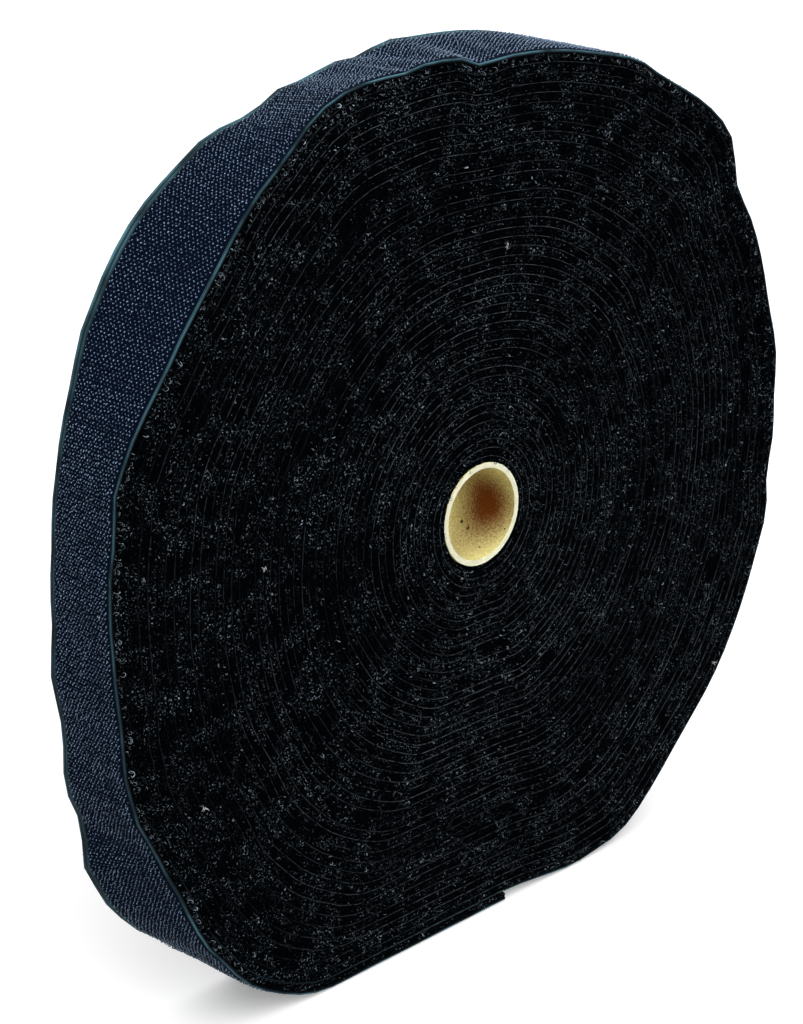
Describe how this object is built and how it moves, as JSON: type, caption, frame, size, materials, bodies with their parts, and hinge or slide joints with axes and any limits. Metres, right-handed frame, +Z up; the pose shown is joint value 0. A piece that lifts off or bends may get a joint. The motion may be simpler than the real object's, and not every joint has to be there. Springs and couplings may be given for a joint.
{
  "type": "hook and loop tape roll",
  "caption": "Roll of dark hook and loop tape wound hooks outward on a paperboard core, standing on its settled rim with the tape's end flat beneath it, so the roll can unroll.",
  "frame": {"origin": "on the floor under the core's axis, halfway across the tape's width", "axes": "+X to the right along the open face, +Y along the core away from the open face, +Z up"},
  "size_m": [0.2513, 0.0254, 0.2436],
  "materials": {
    "hook_cloth": "matte",
    "bond_film": "matte",
    "loop_pile": "matte",
    "paperboard": "matte",
    "adhesive_strip": "matte"
  },
  "bodies": {
    "tape_end": {"tape_end_hook_web": "hook_cloth", "tape_end_bond_film": "bond_film", "tape_end_loop_web": "loop_pile"},
    "tape_bend_1": {"tape_bend_1_hook_web": "hook_cloth", "tape_bend_1_bond_film": "bond_film", "tape_bend_1_loop_web": "loop_pile"},
    "tape_bend_2": {"tape_bend_2_hook_web": "hook_cloth", "tape_bend_2_bond_film": "bond_film", "tape_bend_2_loop_web": "loop_pile"},
    "roll": {"core_inner_ply": "paperboard", "core_middle_ply": "paperboard", "core_outer_ply": "paperboard", "start_adhesive_strip": "adhesive_strip", "wound_tape": "loop_pile", "outer_turn_hook_web": "hook_cloth", "outer_turn_bond_film": "bond_film", "outer_turn_loop_web": "loop_pile"}
  },
  "joints": [
    {"name": "unroll", "type": "hinge", "parent": "tape_end", "child": "roll", "pos_m": [-0.06386, 0, 0.00109], "axis": [0, -1, 0], "range_deg": [0, 30]},
    {"name": "lay_bend_1", "type": "hinge", "parent": "tape_end", "child": "tape_bend_1", "pos_m": [-0.05448, 0, 0.00002], "axis": [0, -1, 0], "range_deg": [0, 12.6]},
    {"name": "lay_bend_2", "type": "hinge", "parent": "tape_bend_1", "child": "tape_bend_2", "pos_m": [-0.07014, 0, 0.00358], "axis": [0, -1, 0], "range_deg": [0, 17.6]}
  ],
  "couplings": [
    {"joint": "lay_bend_1", "follows": "unroll", "ratio": 0.41667},
    {"joint": "lay_bend_2", "follows": "unroll", "ratio": 0.58333}
  ]
}
